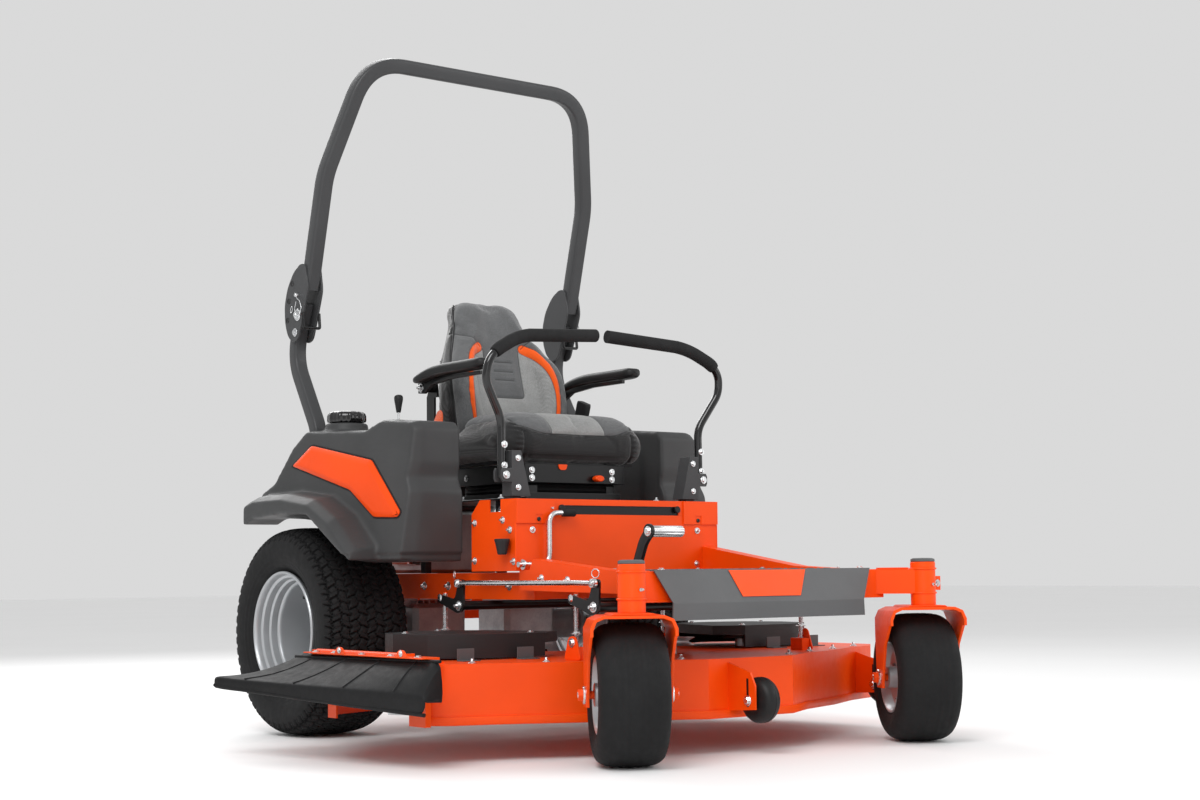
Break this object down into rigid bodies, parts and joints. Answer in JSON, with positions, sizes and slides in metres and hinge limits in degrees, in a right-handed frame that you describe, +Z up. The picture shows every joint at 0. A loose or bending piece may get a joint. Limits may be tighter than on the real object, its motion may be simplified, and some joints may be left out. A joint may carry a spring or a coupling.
{
  "type": "zero turn mower",
  "caption": "Ride-on zero turn mower with a mid-mounted cutting deck, front casters, lap bar steering, sprung seat and folding roll bar.",
  "frame": {"origin": "centre of the bounding box at floor level", "axes": "+Z up, front of the machine toward -Y, operator's right toward -X"},
  "size_m": [1.805, 1.99, 1.9542],
  "materials": {
    "orange_paint": "orange powder coat, semi-gloss",
    "grey_paint": "dark grey textured powder coat",
    "black_paint": "black powder coat, satin",
    "charcoal_paint": "charcoal powder coat, satin",
    "charcoal_plastic": "rotomoulded, fine grain",
    "black_plastic": "moulded, matt",
    "seat_fabric": "grey woven seat cloth over foam",
    "soft_grip": "soft foam grip skin",
    "cast_metal": "as cast",
    "exhaust_steel": "heat dulled steel",
    "tyre_rubber": "matt tyre rubber",
    "chute_rubber": "moulded black rubber",
    "rim_silver": "silver paint",
    "bright_steel": "zinc plated"
  },
  "bodies": {
    "chassis": {"frame_weldment": "orange_paint", "foot_platform": "grey_paint", "kick_plate_panel": "orange_paint", "riser_box": "orange_paint", "seat_pan": "black_paint", "fender_right": "charcoal_plastic", "fender_left": "charcoal_plastic", "fender_trim_right": "orange_paint", "fender_trim_left": "orange_paint", "rops_post_right": "charcoal_paint", "rops_post_left": "charcoal_paint", "suspension_base": "black_paint", "engine_block": "cast_metal", "engine_shroud": "black_plastic", "air_cleaner": "black_plastic", "muffler": "exhaust_steel", "rear_guard": "charcoal_paint", "transaxle_right": "cast_metal", "transaxle_left": "cast_metal"},
    "rops_upper": {"rops_hoop": "charcoal_paint"},
    "suspension": {"suspension_top": "black_paint"},
    "seat": {"seat_frame": "black_paint", "seat_cushion": "seat_fabric", "seat_backrest": "seat_fabric"},
    "deck": {"deck_shell": "orange_paint", "belt_cover_right": "charcoal_plastic", "belt_cover_left": "charcoal_plastic"},
    "chute": {"discharge_chute": "chute_rubber"},
    "front_lift": {"lift_pedal": "black_paint"},
    "rear_lift": {"rear_lift_shaft": "black_paint"},
    "lock": {"transport_lock_lever": "bright_steel"},
    "throttle": {"throttle_lever": "black_plastic"},
    "armrest_right": {"armrest_arm_right": "black_paint", "armrest_pad_right": "soft_grip"},
    "armrest_left": {"armrest_arm_left": "black_paint", "armrest_pad_left": "soft_grip"},
    "lever_right": {"steering_lever_right": "charcoal_paint"},
    "lap_right": {"lap_bar_right": "black_paint"},
    "lever_left": {"steering_lever_left": "charcoal_paint"},
    "lap_left": {"lap_bar_left": "black_paint"},
    "drag_right": {"drag_link_right": "bright_steel"},
    "drag_left": {"drag_link_left": "bright_steel"},
    "spindle_centre": {"blade_centre": "bright_steel"},
    "spindle_right": {"blade_right": "bright_steel"},
    "spindle_left": {"blade_left": "bright_steel"},
    "roller_front": {"scalp_roller_front": "black_plastic"},
    "roller_left": {"scalp_roller_left": "black_plastic"},
    "roller_right": {"scalp_roller_right": "black_plastic"},
    "cap_right": {"fuel_cap_right": "black_plastic"},
    "cap_left": {"fuel_cap_left": "black_plastic"},
    "rear_wheel_right": {"rear_tyre_right": "tyre_rubber", "rear_rim_right": "rim_silver"},
    "rear_wheel_left": {"rear_tyre_left": "tyre_rubber", "rear_rim_left": "rim_silver"},
    "fork_right": {"caster_fork_right": "orange_paint"},
    "caster_wheel_right": {"caster_tyre_right": "tyre_rubber", "caster_rim_right": "rim_silver"},
    "fork_left": {"caster_fork_left": "orange_paint"},
    "caster_wheel_left": {"caster_tyre_left": "tyre_rubber", "caster_rim_left": "rim_silver"}
  },
  "joints": [
    {"name": "rops_fold", "type": "hinge", "parent": "chassis", "child": "rops_upper", "pos_m": [0.1275, 0.6198, 1.2], "axis": [-1, 0, 0], "range_deg": [0, 100]},
    {"name": "seat_suspension", "type": "slide", "parent": "chassis", "child": "suspension", "axis": [0, 0, 1], "range_m": [-0.04, 0], "stiffness_N_per_m": 14000, "springref_m": 0.04},
    {"name": "seat_slide", "type": "slide", "parent": "suspension", "child": "seat", "axis": [0, 1, 0], "range_m": [-0.04, 0.08]},
    {"name": "armrest_lift_right", "type": "hinge", "parent": "seat", "child": "armrest_right", "pos_m": [-0.1225, 0.3348, 0.975], "axis": [-1, 0, 0], "range_deg": [0, 75]},
    {"name": "armrest_lift_left", "type": "hinge", "parent": "seat", "child": "armrest_left", "pos_m": [0.3775, 0.3348, 0.975], "axis": [-1, 0, 0], "range_deg": [0, 75]},
    {"name": "steering_right", "type": "hinge", "parent": "chassis", "child": "lever_right", "pos_m": [-0.1725, -0.1752, 0.6], "axis": [1, 0, 0], "range_deg": [-12, 12]},
    {"name": "lap_bar_swing_right", "type": "hinge", "parent": "lever_right", "child": "lap_right", "pos_m": [-0.2125, -0.1852, 0.7], "axis": [0, -1, 0], "range_deg": [0, 28]},
    {"name": "steering_left", "type": "hinge", "parent": "chassis", "child": "lever_left", "pos_m": [0.4275, -0.1752, 0.6], "axis": [1, 0, 0], "range_deg": [-12, 12]},
    {"name": "lap_bar_swing_left", "type": "hinge", "parent": "lever_left", "child": "lap_left", "pos_m": [0.4675, -0.1852, 0.7], "axis": [0, 1, 0], "range_deg": [0, 28]},
    {"name": "deck_lift", "type": "slide", "parent": "chassis", "child": "deck", "axis": [0, 0, 1], "range_m": [-0.039, 0.0435]},
    {"name": "lift_pedal_swing", "type": "hinge", "parent": "chassis", "child": "front_lift", "pos_m": [0.1275, -0.6402, 0.361], "axis": [1, 0, 0], "range_deg": [-25, 28]},
    {"name": "rear_lift_swing", "type": "hinge", "parent": "chassis", "child": "rear_lift", "pos_m": [0.1275, -0.0602, 0.36], "axis": [1, 0, 0], "range_deg": [-25, 28]},
    {"name": "drag_link_slide_right", "type": "slide", "parent": "chassis", "child": "drag_right", "axis": [0, 1, 0], "range_m": [-0.029, 0.026]},
    {"name": "drag_link_slide_left", "type": "slide", "parent": "chassis", "child": "drag_left", "axis": [0, 1, 0], "range_m": [-0.029, 0.026]},
    {"name": "chute_hinge", "type": "hinge", "parent": "deck", "child": "chute", "pos_m": [-0.6725, -0.2202, 0.25], "axis": [0, 1, 0], "range_deg": [0, 80]},
    {"name": "blade_spin_centre", "type": "hinge", "parent": "deck", "child": "spindle_centre", "pos_m": [0.1275, -0.4502, 0.11], "axis": [0, 0, 1], "continuous": true},
    {"name": "blade_spin_right", "type": "hinge", "parent": "deck", "child": "spindle_right", "pos_m": [-0.3625, -0.1902, 0.11], "axis": [0, 0, 1], "continuous": true},
    {"name": "blade_spin_left", "type": "hinge", "parent": "deck", "child": "spindle_left", "pos_m": [0.6175, -0.1902, 0.11], "axis": [0, 0, 1], "continuous": true},
    {"name": "roller_spin_front", "type": "hinge", "parent": "deck", "child": "roller_front", "pos_m": [0.0875, -0.8402, 0.133], "axis": [1, 0, 0], "continuous": true},
    {"name": "roller_spin_left", "type": "hinge", "parent": "deck", "child": "roller_left", "pos_m": [0.7725, -0.5952, 0.133], "axis": [1, 0, 0], "continuous": true},
    {"name": "roller_spin_right", "type": "hinge", "parent": "deck", "child": "roller_right", "pos_m": [-0.1725, 0.1248, 0.133], "axis": [1, 0, 0], "continuous": true},
    {"name": "transport_lock", "type": "hinge", "parent": "chassis", "child": "lock", "pos_m": [-0.1725, -0.2722, 0.466], "axis": [1, 0, 0], "range_deg": [0, 40]},
    {"name": "fuel_cap_turn_right", "type": "hinge", "parent": "chassis", "child": "cap_right", "pos_m": [-0.3245, 0.4198, 0.8708], "axis": [0, 0, 1], "range_deg": [0, 120]},
    {"name": "fuel_cap_turn_left", "type": "hinge", "parent": "chassis", "child": "cap_left", "pos_m": [0.5795, 0.4198, 0.8708], "axis": [0, 0, 1], "range_deg": [0, 120]},
    {"name": "throttle_swing", "type": "hinge", "parent": "chassis", "child": "throttle", "pos_m": [-0.2925, 0.1948, 0.8575], "axis": [1, 0, 0], "range_deg": [-25, 25]},
    {"name": "rear_wheel_spin_right", "type": "hinge", "parent": "chassis", "child": "rear_wheel_right", "pos_m": [-0.3795, 0.4738, 0.288], "axis": [1, 0, 0], "continuous": true},
    {"name": "rear_wheel_spin_left", "type": "hinge", "parent": "chassis", "child": "rear_wheel_left", "pos_m": [0.6345, 0.4738, 0.288], "axis": [1, 0, 0], "continuous": true},
    {"name": "caster_swivel_right", "type": "hinge", "parent": "chassis", "child": "fork_right", "pos_m": [-0.3545, -0.8962, 0.351], "axis": [0, 0, 1], "continuous": true},
    {"name": "caster_spin_right", "type": "hinge", "parent": "fork_right", "child": "caster_wheel_right", "pos_m": [-0.3127, -0.82799, 0.165], "axis": [0.8526, -0.5225, 0], "continuous": true},
    {"name": "caster_swivel_left", "type": "hinge", "parent": "chassis", "child": "fork_left", "pos_m": [0.6095, -0.8962, 0.351], "axis": [0, 0, 1], "continuous": true},
    {"name": "caster_spin_left", "type": "hinge", "parent": "fork_left", "child": "caster_wheel_left", "pos_m": [0.6513, -0.82799, 0.165], "axis": [0.8526, -0.5225, 0], "continuous": true}
  ],
  "couplings": [
    {"joint": "lift_pedal_swing", "follows": "deck_lift", "rad_per_m": 11.111},
    {"joint": "rear_lift_swing", "follows": "deck_lift", "rad_per_m": 11.111},
    {"joint": "drag_link_slide_right", "follows": "deck_lift", "ratio": -0.6389},
    {"joint": "drag_link_slide_left", "follows": "deck_lift", "ratio": -0.6389},
    {"joint": "blade_spin_right", "follows": "blade_spin_centre", "ratio": 1},
    {"joint": "blade_spin_left", "follows": "blade_spin_centre", "ratio": 1}
  ]
}
